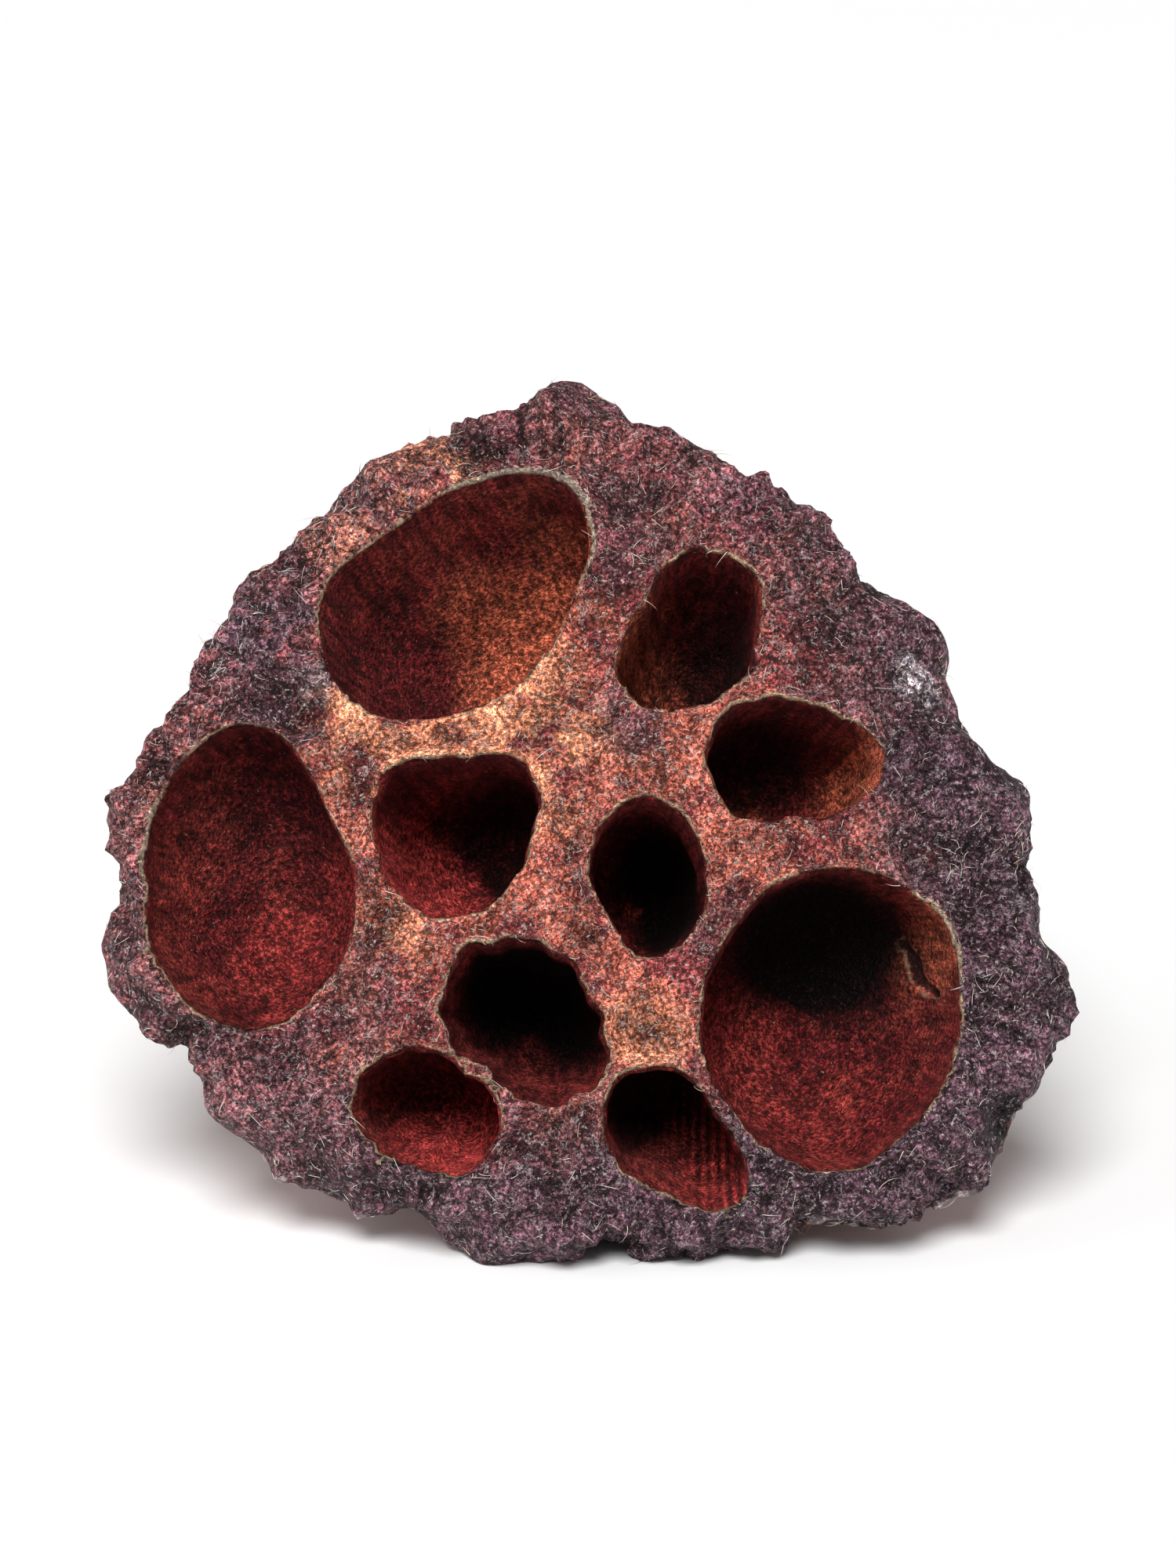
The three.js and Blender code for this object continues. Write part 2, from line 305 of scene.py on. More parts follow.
def cavity_point(cavity, angle, share):
    """A seed cavity as a solid, from the middle of its top at 0 to its bottom at 1."""
    lid_end, neck_end = 0.08, 0.22
    mouth = cavity_mouth(cavity, angle)
    lid = np.clip(share / lid_end, 0, 1)
    neck = np.clip((share - lid_end) / (neck_end - lid_end), 0, 1)
    down = np.sin(np.clip((share - neck_end) / (1 - neck_end), 0, 1) * math.pi / 2)
    flare = MOUTH_FLARE + (1 - MOUTH_FLARE) * neck
    width = lid * flare * cavity_width(down) * mouth
    x = cavity["at"][0] + cavity["lean"][0] * down + width * np.cos(angle)
    y = cavity["at"][1] + cavity["lean"][1] * down + width * np.sin(angle)
    z = np.where(share < neck_end, CUTTER_TOP * (1 - neck), -cavity["depth"] * down)
    return np.stack([x, y, z], 1)


def stub_point(angle, share):
    """The stump of the stem, from the middle of its torn end at 0 to the middle of its foot at 1."""
    end_rim, foot_rim = 0.2, 0.9
    t = 1 - np.clip((share - end_rim) / (foot_rim - end_rim), 0, 1)
    radius = STEM_RADIUS + (STUB_TIP_RADIUS - STEM_RADIUS) * t
    radius += waves(STUB_RIPPLES, angle + RIPPLE_TWIST * t) * t
    radius *= 1 + 0.16 * np.exp(-((t / 0.12) ** 2))
    inward = np.where(share < end_rim, share / end_rim, np.clip((1 - share) / (1 - foot_rim), 0, 1))
    torn = waves(STUB_TEETH, angle) * smooth(0.3, 1, t) * inward ** 2
    dish = 1.6 * (1 - inward ** 2) * (share < end_rim)
    x = radius * inward * np.cos(angle) + STUB_BEND * t * t
    y = radius * inward * np.sin(angle)
    z = -STUB_ROOT + (STUB_LENGTH + STUB_ROOT) * t + torn - dish
    return np.stack([x, -y, -POD_HEIGHT - z], 1)


# The pod's axes in the frame, and its origin, found by setting the shape into the box of its solid.
POD_AXES = np.array([
    (1, 0, 0),
    (0, math.sin(FACE_ELEVATION), math.cos(FACE_ELEVATION)),
    (0, -math.cos(FACE_ELEVATION), math.sin(FACE_ELEVATION)),
])


def pod_origin():
    angle, share = np.meshgrid(np.linspace(0, TAU, 432, endpoint=False), np.linspace(0, 1, 200))
    laid = pod_point(angle.ravel(), share.ravel()) @ POD_AXES * MM
    origin = (HUSK_BOX[0] + HUSK_BOX[1] - laid.min(0) - laid.max(0)) / 2
    origin[2] = HUSK_BOX[1][2] - laid.max(0)[2]
    return origin


POD_ORIGIN = pod_origin()


def to_frame(points):
    return points @ POD_AXES * MM + POD_ORIGIN


def to_pod(points):
    return (points - POD_ORIGIN) @ POD_AXES.T / MM


def get_points(mesh):
    flat = np.empty(3 * len(mesh.vertices))
    mesh.vertices.foreach_get("co", flat)
    return flat.reshape(-1, 3)


def set_points(mesh, points):
    mesh.vertices.foreach_set("co", np.asarray(points, float).ravel())
    mesh.update()


def get_normals(mesh):
    flat = np.empty(3 * len(mesh.vertices))
    mesh.vertex_normals.foreach_get("vector", flat)
    return flat.reshape(-1, 3)


def write_values(mesh, name, values):
    mesh.attributes.new(name, "FLOAT", "POINT").data.foreach_set("value", np.asarray(values, np.float32))


def write_vectors(mesh, name, vectors):
    flat = np.asarray(vectors, np.float32).ravel()
    mesh.attributes.new(name, "FLOAT_VECTOR", "POINT").data.foreach_set("vector", flat)


def shaped_sphere(name, grid, draw):
    """A sphere with every point drawn anew, from its angle round the pole and its share of the way down."""
    bpy.ops.object.select_all(action="DESELECT")
    bpy.ops.mesh.primitive_uv_sphere_add(segments=grid[0], ring_count=grid[1], radius=1)
    piece = bpy.context.object
    piece.name = name
    points = get_points(piece.data)
    angle = np.arctan2(points[:, 1], points[:, 0])
    share = np.arccos(np.clip(points[:, 2], -1, 1)) / math.pi
    set_points(piece.data, to_frame(draw(angle, share)))
    return piece


def apply_modifier(piece, kind, **settings):
    bpy.ops.object.select_all(action="DESELECT")
    piece.select_set(True)
    bpy.context.view_layer.objects.active = piece
    modifier = piece.modifiers.new(kind.title(), kind)
    for name, value in settings.items():
        setattr(modifier, name, value)
    bpy.ops.object.modifier_apply(modifier=modifier.name)


def cut(piece, cutter):
    apply_modifier(piece, "BOOLEAN", operation="DIFFERENCE", solver="MANIFOLD", object=cutter)
    bpy.data.objects.remove(cutter)


def finish_piece(piece, material):
    piece.data.materials.clear()
    piece.data.materials.append(material)
    bpy.ops.object.select_all(action="DESELECT")
    piece.select_set(True)
    bpy.context.view_layer.objects.active = piece
    bpy.ops.object.shade_smooth()
    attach(piece, "root")


class Survey:
    """What each point of the husk's surface belongs to, in the pod's own frame."""

    def __init__(self, mesh):
        self.points = to_pod(get_points(mesh))
        self.normals = get_normals(mesh) @ POD_AXES.T
        x, y, z = self.points.T
        self.angle = np.arctan2(y, x)
        radius = np.hypot(x, y)
        edge = edge_radius(self.angle)
        self.beyond_edge = radius - edge
        below = face_height(x, y, np.minimum(radius / edge, 1)) - z
        self.turned = smooth(2.5, 8, below)
        self.down_flank = np.clip((-RIM_DROP - z) / (POD_HEIGHT - RIM_DROP), 0, 1)
        self.wall = np.zeros(len(x), bool)
        self.depth = np.zeros(len(x))
        self.lip = np.full(len(x), 99.0)
        self.shade_and_stain = np.zeros(len(x))
        self.cavity = np.full(len(x), -1)
        self.turn = np.zeros(len(x))
        self.grain = np.stack([30 * np.cos(self.angle), 30 * np.sin(self.angle), 45 * self.down_flank / 7], 1)
        for number, cavity in enumerate(CAVITIES):
            self.add_cavity(number, cavity, below)
        self.face = ~self.wall & (below < 1.5) & (self.beyond_edge < 1)

    def add_cavity(self, number, cavity, below):
        x, y, z = self.points.T
        down = np.clip(-z / (DEPTH_SLACK * cavity["depth"]), 0, 1)
        dx = x - cavity["at"][0] - cavity["lean"][0] * down
        dy = y - cavity["at"][1] - cavity["lean"][1] * down
        radius = np.hypot(dx, dy) + 1e-6
        angle = np.arctan2(dy, dx)
        mouth = cavity_mouth(cavity, angle)
        flare = 1 + (MOUTH_FLARE - 1) * np.clip(z / CUTTER_TOP, 0, 1)
        gap = radius - mouth * flare * cavity_width(down)
        facing = (self.normals[:, 0] * dx + self.normals[:, 1] * dy) / radius
        reached = z > -DEPTH_SLACK * cavity["depth"] - 1
        inside = (gap < 1) & (below > 0.12) & (facing < 0.35) & reached
        self.lip = np.where(inside, -below, np.where(self.wall, self.lip, np.minimum(self.lip, np.abs(gap))))
        self.wall |= inside
        self.depth[inside] = down[inside]
        strength, side, reach = cavity["shade_and_stain"]
        # Painted shade, partly real staining: darker with depth, and higher up on the sheltered side of the
        # wall.
        sheltered = down + reach + 0.46 * np.cos(angle - math.radians(side)) * smooth(0.05, 0.4, down)
        self.shade_and_stain[inside] = strength * smooth(0.42, 0.95, sheltered[inside])
        self.cavity[inside] = number
        self.turn[inside] = angle[inside]
        lengthwise = np.stack([dx, dy, -z / 6 + 40 * (number + 1)], 1)
        self.grain[inside] = lengthwise[inside]


def spots(points, listed):
    """Soft round spots on the face, from 0 to 1."""
    total = np.zeros(len(points))
    for x, y, radius, strength in listed:
        away = np.hypot(points[:, 0] - x, points[:, 1] - y)
        away += radius * 0.45 * noise_at(points, radius * 0.6, x)
        total = np.maximum(total, strength * (1 - smooth(0.45 * radius, 1.25 * radius, away)))
    return total


def torn(points):
    """1 along the ragged crack and in the small hole, falling to 0 beside them."""
    at = points[:, :2] + 0.4 * np.stack([noise_at(points, 1.3, 41), noise_at(points, 1.3, 47)], 1)
    gap = np.full(len(points), 99.0)
    for start, end in zip(np.array(CRACK_LINE[:-1]), np.array(CRACK_LINE[1:])):
        way = end - start
        t = np.clip((at - start) @ way / (way @ way), 0, 1)
        gap = np.minimum(gap, np.linalg.norm(at - start - t[:, None] * way, axis=1))
    crack = (1 - smooth(0.1, 0.55, gap)) * smooth(-0.6, 0, noise_at(points, 2, 53))
    return np.maximum(crack, spots(points, HOLE_SPOTS))


def wall_lift(survey):
    """Dents, a fold and torn places on the walls of the cavities."""
    p = survey.points
    lift = 0.5 * noise_at(p, 7, 31) + 0.1 * noise_at(survey.grain, 1.2) + 0.12 * noise_at(p, 1.5, 13)
    ridge_gap = np.abs(np.angle(np.exp(1j * (survey.turn - RIDGE_ANGLE - 0.7 * survey.depth))))
    ridge = np.exp(-((ridge_gap / 0.16) ** 2)) * smooth(0.15, 0.4, survey.depth)
    lift += 1.1 * ridge * (survey.cavity == RIDGED_CAVITY)
    return lift - 0.9 * torn(p)


def sculpt_husk(mesh, survey, sizes):
    """Raises the lips, crags, wrinkles and folds out of the plain husk."""
    p = survey.points
    lip = survey.lip
    on_face = survey.face.astype(float)
    on_wall = survey.wall.astype(float)
    craggy = smooth(-6, -0.5, survey.beyond_edge) * (1 - on_wall)
    craggy *= 1 - smooth(0.02, 0.22, survey.down_flank)
    on_flank = (1 - on_face) * (1 - on_wall) * smooth(0.0, 0.1, survey.down_flank)
    calm = smooth(0.1, 1.2, np.abs(lip))

    inner = on_face * (1 - smooth(-4, 0.5, survey.beyond_edge))
    lift = inner * calm * (0.9 * noise_at(p, 4.5) + 0.75 * noise_at(p, 2.1, 7) + 0.35 * noise_at(p, 1.1, 3))
    thick = 1 + 0.6 * spots(p, LIP_SPOTS)
    uneven = 1 + 0.6 * noise_at(p, 2.2, 11) + 0.8 * noise_at(p, 1.1, 19)
    lip_rise = np.exp(-((lip / (0.6 * thick)) ** 2)) * uneven * thick
    rise = on_face * sizes.lip_height / MM * lip_rise
    rise += inner * sizes.collar_height / MM * (np.exp(-lip / 1.8) - 0.35)

    lumps = 0.5 - 1.6 * np.abs(noise_at(p, 7, 21)) + 0.8 * noise_at(p, 3.4, 23)
    crumbs = (noise_at(p, 1.7, 5) + 0.7 * noise_at(p, 0.9, 15)) * smooth(-0.5, 0.4, noise_at(p, 9, 27))
    pleats = noise_at(survey.grain, 1.6, 17) * smooth(-2, 1, survey.beyond_edge)
    lift += craggy * calm * sizes.crag_height / MM * (0.7 * lumps + 0.65 * crumbs + 0.3 * pleats)
    lift -= 2 * (1 - on_wall) * spots(p, NOTCH_SPOTS) * smooth(-3, 0, survey.beyond_edge)
    lift += on_wall * smooth(0.3, 2.5, -lip) * wall_lift(survey)

    threads = 1.4 * noise_at(survey.grain, 9, 6) + 0.9 * noise_at(survey.grain, 5, 2)
    threads += 0.5 * noise_at(survey.grain, 2.2, 9) + 0.25 * noise_at(survey.grain, 1.1)
    cleft = np.exp(-14 * (1 + fold_wave(survey.angle))) * smooth(0.1, 0.6, noise_at(p, 16, 4) + 0.5)
    fading = 1 - smooth(0.9, 1, survey.down_flank)
    clear = 0.2 + 0.8 * smooth(0.5, 6, get_points(mesh)[:, 2] / MM)
    lift += on_flank * clear * (sizes.wrinkle_height / MM * threads - 1.3 * cleft * fading)

    moved = to_frame(p + survey.normals * lift[:, None] + np.outer(rise, (0, 0, 1)))
    moved[:, 2] = np.maximum(moved[:, 2], 0)
    set_points(mesh, moved)
    write_values(mesh, "lift", lift + rise)


def record_husk(mesh, survey):
    """Writes what the finish needs to know at each point."""
    p = survey.points
    write_values(mesh, "lip", survey.lip)
    write_values(mesh, "cavity", survey.wall)
    write_values(mesh, "shade_and_stain", survey.shade_and_stain)
    write_values(mesh, "lit_orange", spots(p, LIT_ORANGE_SPOTS) * survey.wall)
    write_values(mesh, "lit_crimson", spots(p, LIT_CRIMSON_SPOTS) * survey.wall)
    write_values(mesh, "edge", survey.beyond_edge)
    write_values(mesh, "flank", survey.turned * ~survey.wall)
    write_values(mesh, "down", survey.down_flank)
    write_values(mesh, "groove", np.exp(-5 * (1 + fold_wave(survey.angle))))
    write_values(mesh, "orange", spots(p, ORANGE_SPOTS))
    write_values(mesh, "violet", spots(p, VIOLET_SPOTS))
    write_values(mesh, "bloom", spots(p, BLOOM_SPOTS) * survey.face)
    write_values(mesh, "thick", spots(p, LIP_SPOTS))
    write_values(mesh, "tuft", spots(p, TUFT_SPOTS))
    write_values(mesh, "torn", torn(p) * survey.wall)
    ribbed = 1 - smooth(0.7, 1.6, np.abs(survey.turn))
    write_values(mesh, "ribbed", ribbed * (survey.cavity == RIBBED_CAVITY))
    write_values(mesh, "stain", spots(p, STAIN_SPOTS) * survey.wall)
    write_values(mesh, "dusk", smooth(-30, 50, p[:, 0] - p[:, 1]))
    write_vectors(mesh, "grain", survey.grain)


class Signal:
    """An output socket of a shader node. Sums and products of signals add the Math nodes that they need."""

    def __init__(self, finish, socket):
        self.finish = finish
        self.socket = socket

    def math(self, operation, *values):
        return self.finish.node("ShaderNodeMath", dict(enumerate((self, *values))), operation=operation)

    def __add__(self, other):
        return self.math("ADD", other)

    def __sub__(self, other):
        return self.math("SUBTRACT", other)

    def __rsub__(self, other):
        return self.math("MULTIPLY", -1).math("ADD", other)

    def __mul__(self, other):
        return self.math("MULTIPLY", other)

    __radd__ = __add__
    __rmul__ = __mul__


class Finish:
    """A material that is built up from signals."""

    def __init__(self, name):
        self.material = bpy.data.materials.new(name)
        self.material.use_nodes = True
        self.tree = self.material.node_tree
        self.shader = self.tree.nodes["Principled BSDF"]
        coordinates = self.node("ShaderNodeTexCoord", output="Object")
        self.place = self.node("ShaderNodeVectorMath", {0: coordinates, "Scale": 1 / MM}, operation="SCALE")

    def node(self, kind, inputs=None, output=0, **settings):
        """Adds a node, sets it up, fills its sockets with values or signals and gives one output."""
        made = self.tree.nodes.new(kind)
        for name, value in settings.items():
            setattr(made, name, value)
        for name, value in (inputs or {}).items():
            self.fill(made.inputs[name], value)
        return Signal(self, made.outputs[output])

    def fill(self, socket, value):
        if isinstance(value, Signal):
            self.tree.links.new(value.socket, socket)
        elif socket.type == "RGBA" and len(value) == 3:
            socket.default_value = (*value, 1)
        else:
            socket.default_value = value

    def attribute(self, name, output="Fac"):
        return self.node("ShaderNodeAttribute", output=output, attribute_name=name)

    def noise(self, scale, vector=None, detail=3, roughness=0.55, distortion=0.0):
        inputs = {"Vector": vector or self.place, "Scale": scale, "Detail": detail}
        inputs.update({"Roughness": roughness, "Distortion": distortion})
        return self.node("ShaderNodeTexNoise", inputs)

    def cells(self, scale, vector=None, feature="F1", output="Distance"):
        inputs = {"Vector": vector or self.place, "Scale": scale}
        return self.node("ShaderNodeTexVoronoi", inputs, output=output, feature=feature)

    def warped(self, scale, amount):
        """The place on the piece, shifted about by noise so that patterns on it lose their straightness."""
        inputs = {"Vector": self.place, "Scale": scale, "Detail": 2}
        drift = self.node("ShaderNodeTexNoise", inputs, output="Color")
        centred = self.node("ShaderNodeVectorMath", {0: drift, 1: (0.5, 0.5, 0.5)}, operation="SUBTRACT")
        moved = self.node("ShaderNodeVectorMath", {0: centred, "Scale": amount}, operation="SCALE")
        return self.node("ShaderNodeVectorMath", {0: self.place, 1: moved}, operation="ADD")

    def step(self, value, low, high):
        """0 below low, 1 above high. With low above high it falls instead of rising."""
        inputs = {"Value": value, "From Min": low, "From Max": high}
        return self.node("ShaderNodeMapRange", inputs, interpolation_type="SMOOTHSTEP")

    def mix(self, first, second, factor):
        """A colour between the first and the second."""
        made = self.tree.nodes.new("ShaderNodeMix")
        made.data_type = "RGBA"
        sockets = {s.identifier: s for s in made.inputs}
        self.fill(sockets["Factor_Float"], factor)
        self.fill(sockets["A_Color"], first)
        self.fill(sockets["B_Color"], second)
        return Signal(self, next(s for s in made.outputs if s.identifier == "Result_Color"))

    def shade(self, colour, factor):
        """A colour made darker or lighter by a factor."""
        return self.node("ShaderNodeVectorMath", {0: colour, "Scale": factor}, operation="SCALE")

    def close(self, colour, roughness, height, specular):
        """Joins the finished signals to the shader. The height is in millimetres."""
        inputs = {"Height": height, "Strength": 1.0, "Distance": MM}
        bump = self.node("ShaderNodeBump", inputs, output="Normal")
        self.fill(self.shader.inputs["Base Color"], colour)
        self.fill(self.shader.inputs["Roughness"], roughness)
        self.fill(self.shader.inputs["Normal"], bump)
        self.shader.inputs["Specular IOR Level"].default_value = specular
        return self.material


def husk_finish(tints):
    """Leathery face, mahogany cavities with pale lips, craggy violet rim and a flank of lavender and rust."""
    f = Finish("lotus_husk")
    lip = f.attribute("lip")
    edge = f.attribute("edge")
    down = f.attribute("down")
    dusk = f.attribute("dusk")
    torn_place = f.attribute("torn")
    thick = f.attribute("thick")
    grain = f.attribute("grain", "Vector")
    outside = f.step(lip, -0.3, 0.05)

    broad = f.noise(0.13, detail=3)
    patch = f.noise(0.35, detail=5, roughness=0.65)
    crumb = f.noise(2.4, detail=2, roughness=0.7)
    fine = f.noise(4.2, detail=3, roughness=0.7)
    lump = f.noise(0.75, detail=3, roughness=0.62, distortion=1.4)
    grain_noise = f.noise(2.9, detail=3, roughness=0.75)
    grit = f.step(grain_noise, 0.4, 0.58)
    hair = (f.noise(1.3, detail=2, distortion=1.5) - 0.5).math("ABSOLUTE")
    streak = f.noise(1.3, grain, detail=3, roughness=0.65)
    thread = f.noise(4.0, grain, detail=2)
    skin = f.noise(0.3, grain, detail=4, roughness=0.65)
    flank = f.step(f.attribute("flank") + 1.6 * (skin - 0.5) + 1.2 * (patch - 0.5), 0.42, 0.58)
    net = f.cells(0.8, f.warped(0.7, 1.6), "DISTANCE_TO_EDGE")
    zone = f.noise(0.2, detail=2)
    cloud = f.step(0.6 * zone + 0.4 * patch, 0.38, 0.6)
    crease = (f.noise(0.42, detail=4, roughness=0.6, distortion=0.8) - 0.5).math("ABSOLUTE")

    orange = f.attribute("orange")
    face = f.mix(tints.face_red, tints.face_terracotta, f.step(broad + 0.5 * (patch - 0.5), 0.42, 0.56))
    wander = 14 * (zone - 0.5) + 14 * (patch - 0.5) + 16 * (broad - 0.5)
    violet = f.step(edge + wander + 7 * (dusk - 0.5), -14, -2)
    face = f.mix(face, tints.rim_violet, violet * (0.5 + 0.5 * dusk))
    face = f.mix(face, tints.face_plum, f.attribute("violet") * f.step(patch, 0.36, 0.5))
    face = f.mix(face, tints.face_orange, orange * f.step(cloud, 0.0, 0.6))
    dark = f.step(edge + 10 * (zone - 0.5) + 12 * (patch - 0.5) + 7 * (dusk - 0.5), -8, 0)
    face = f.mix(face, tints.rim_dark, dark * (0.45 + 0.45 * dusk))
    face = f.mix(face, tints.bloom_grey, f.attribute("bloom") * f.step(crumb, 0.3, 0.55))
    face = f.shade(face, 0.7 + 0.6 * cloud)
    face = f.shade(face, 1 + 0.3 * orange)
    # Painted shade in the creases towards the rim.
    face = f.mix(face, tints.recess_shade, f.step(crease, 0.035, 0.005) * f.step(edge, -14, -3) * 0.85)
    # Painted shade in the hollows and painted light on the crests of the lumpy relief.
    face = f.shade(face, 1 + (0.6 + 0.5 * violet) * (f.step(lump, 0.36, 0.6) - 0.5))
    face = f.shade(face, 1 + 0.8 * f.step(edge, -5, 0) * (f.step(streak, 0.35, 0.6) - 0.5))
    # Painted shade in the sculpted hollows and painted light on their crests.
    face = f.shade(face, 0.4 + 1.2 * f.step(f.attribute("lift"), -0.9, 0.9))
    face = f.shade(face, 0.22 + 1.25 * grit)
    # Painted shade along the network of crevices and in the hollows of the lumpy relief.
    face = f.mix(face, tints.recess_shade, f.step(net, 0.09, 0.01) * f.step(patch, 0.4, 0.5) * 0.6)
    face = f.mix(face, tints.recess_shade, f.step(lump, 0.38, 0.28) * 0.6)
    # Pale grains: partly the face's own pale specks, partly painted glints.
    pale_grain_and_glint = f.mix(tints.pale_speck_and_glint, tints.skin_lavender, violet)
    face = f.mix(face, pale_grain_and_glint, f.step(grain_noise, 0.6, 0.76) * (0.2 + 0.4 * violet))
    speck = f.step(f.noise(2.2, detail=2), 0.57, 0.65) * f.step(fine, 0.45, 0.58)
    fleck = f.step(hair, 0.035, 0.01) * f.step(f.noise(0.9, detail=3), 0.5, 0.6)
    face = f.mix(face, pale_grain_and_glint, speck.math("MAXIMUM", 0.7 * fleck) * 0.85)

    wall = f.mix(tints.wall_mahogany, tints.wall_orange, f.step(0.6 * broad + 0.4 * patch, 0.42, 0.62))
    # Partly the tissue's red, partly painted light on the lit walls.
    wall = f.mix(wall, tints.wall_lit_crimson, f.attribute("lit_crimson"))
    # Partly the tissue's orange, partly painted light on the lit walls.
    wall = f.mix(wall, tints.wall_lit_orange, f.attribute("lit_orange"))
    wall = f.shade(wall, 0.3 + 1.2 * grit)
    wall = f.shade(wall, 0.35 + 1.3 * f.step(streak, 0.3, 0.7))
    sideways = f.node("ShaderNodeSeparateXYZ", {0: f.place})
    ribs = f.attribute("ribbed") * (TAU / RIB_SPACING * sideways + 3 * lump).math("SINE")
    wall = f.shade(wall, 1 + 0.65 * ribs)
    # Pale specks on the walls: partly real grains, partly painted glints.
    wall_speck_and_glint = f.step(f.noise(3.2, detail=3), 0.64, 0.74) * f.step(lump, 0.4, 0.65)
    wall = f.mix(wall, tints.lip_tan, wall_speck_and_glint * 0.6)
    # Painted shade, partly real staining, darkening the deep and sheltered walls of the cavities.
    wall = f.shade(wall, 1 - 0.97 * f.attribute("shade_and_stain"))
    wall = f.shade(wall, 1 - 0.8 * f.attribute("stain") * cloud)
    torn_edge = f.step(torn_place, 0.05, 0.2) * f.step(torn_place, 0.5, 0.3)
    wall = f.mix(wall, tints.lip_tan, torn_edge * cloud * 0.25)
    # Painted shade inside the torn crack and the small hole.
    wall = f.mix(wall, tints.recess_shade, f.step(torn_place + 0.6 * (crumb - 0.5), 0.35, 0.6) * 0.85)

    side = f.mix(tints.flank_brown, tints.flank_rust, f.step(0.5 * patch + 0.5 * skin, 0.42, 0.58))
    side = f.mix(side, tints.stem_orange, f.step(down + 0.5 * (broad - 0.5), 0.6, 1.0))
    side = f.mix(side, tints.rim_dark, f.step(down + 0.25 * (skin - 0.5), 0.1, 0.0) * 0.5)
    bloom = f.step(0.7 * skin + 0.5 * (zone - 0.5) + 0.2 * patch, 0.42, 0.5) * f.step(down, 0.98, 0.55)
    side = f.mix(side, tints.skin_lavender, bloom * 0.85)
    side = f.shade(side, 0.35 + 1.3 * f.step(streak, 0.25, 0.75))
    side = f.shade(side, 0.55 + 0.9 * thread)
    side = f.shade(side, 0.6 + 0.8 * grit)
    # Painted shade in the flank's creases and in the grooves between its folds.
    side = f.mix(side, tints.recess_shade, f.step(streak, 0.36, 0.26) * 0.7)
    groove = f.attribute("groove") * f.step(f.noise(0.09, detail=2), 0.42, 0.6)
    side = f.mix(side, tints.recess_shade, groove * 0.75)

    colour = f.mix(f.mix(face, side, flank), wall, 1 - outside)
    width = 0.08 + 0.45 * thick + 1.4 * (lump - 0.5)
    band = f.step(lip, -0.3, -0.05) * f.step(lip - width, 0.2, 0.0)
    chipped = f.step(0.6 * zone + 0.4 * f.noise(0.6, detail=4, roughness=0.75) + 0.12 * thick, 0.44, 0.54)
    pale = f.shade(f.mix(tints.lip_tan, tints.bloom_grey, 0.5 * thick), 0.25 + 0.4 * crumb + 0.85 * grit)
    colour = f.mix(colour, pale, band * chipped * (1 - flank))

    rough = 0.62 - 0.1 * (1 - outside) - 0.15 * f.attribute("bloom") + 0.2 * flank
    face_relief = 2.0 * lump + 0.6 * crumb + 0.3 * grit + 0.8 * f.step(edge, -5, 0) * streak
    side_relief = 0.7 * streak + 0.2 * thread
    wall_relief = 0.7 * streak + 0.2 * thread + 0.3 * crumb + 0.15 * grit + 0.15 * ribs
    below = f.step(f.attribute("flank"), 0.3, 0.7)
    outer = face_relief * (1 - below) + side_relief * below
    return f.close(colour, rough, outer * outside + wall_relief * (1 - outside), 0.25)


def pith_finish(tints):
    """Straw-coloured stem tissue, porous and streaked along its length."""
    f = Finish("stem_pith")
    grain = f.attribute("grain", "Vector")
    streak = f.noise(0.9, grain, detail=4, roughness=0.65)
    crumb = f.noise(2.2, detail=4, roughness=0.7)
    pores = f.cells(1.8, f.warped(1.5, 0.6))
    colour = f.mix(tints.stem_brown, tints.stem_straw, f.step(streak * 0.5 + crumb * 0.5, 0.36, 0.58))
    colour = f.shade(colour, 0.4 + 1.2 * crumb)
    colour = f.mix(colour, tints.stem_brown, f.step(pores, 0.22, 0.08) * 0.6)
    height = 0.8 * crumb + 0.25 * streak + 0.3 * f.step(pores, 0.05, 0.3)
    return f.close(colour, 0.95 - 0.1 * streak, height, 0.2)


def fibre_finish(tints):
    """Pale dry plant hair."""
    f = Finish("dry_fibre")
    tone = f.noise(0.6, detail=3)
    colour = f.mix(tints.fibre_grey, tints.fibre_tan, f.step(tone, 0.4, 0.62))
    return f.close(colour, 0.8 - 0.15 * tone, 0.02 * tone, 0.3)


def floor_finish(tints):
    f = Finish("pale_floor")
    colour = f.shade(f.mix(tints.floor_white, tints.floor_grey, f.noise(0.02)), 0.99 + 0.02 * f.noise(0.01))
    return f.close(colour, 0.75 + 0.05 * f.noise(0.02), 0.002 * f.noise(0.3), 0.2)


def scatter(mesh, weights, count, draw):
    """Random faces of a mesh, chosen by weight, as centres and normals."""
    centres = np.empty(3 * len(mesh.polygons))
    normals = np.empty(3 * len(mesh.polygons))
    mesh.polygons.foreach_get("center", centres)
    mesh.polygons.foreach_get("normal", normals)
    picked = draw.choice(len(mesh.polygons), size=count, p=weights / weights.sum())
    return centres.reshape(-1, 3)[picked], normals.reshape(-1, 3)[picked]


def face_values(mesh, name):
    """A point attribute as one value a face: that of the face's first corner."""
    values = np.empty(len(mesh.vertices), np.float32)
    mesh.attributes[name].data.foreach_get("value", values)
    starts = np.empty(len(mesh.polygons), np.int32)
    mesh.polygons.foreach_get("loop_start", starts)
    corners = np.empty(len(mesh.loops), np.int32)
    mesh.loops.foreach_get("vertex_index", corners)
    return values[corners[starts]]


def unit(vectors):
    return vectors / np.maximum(np.linalg.norm(vectors, axis=1, keepdims=True), 1e-9)


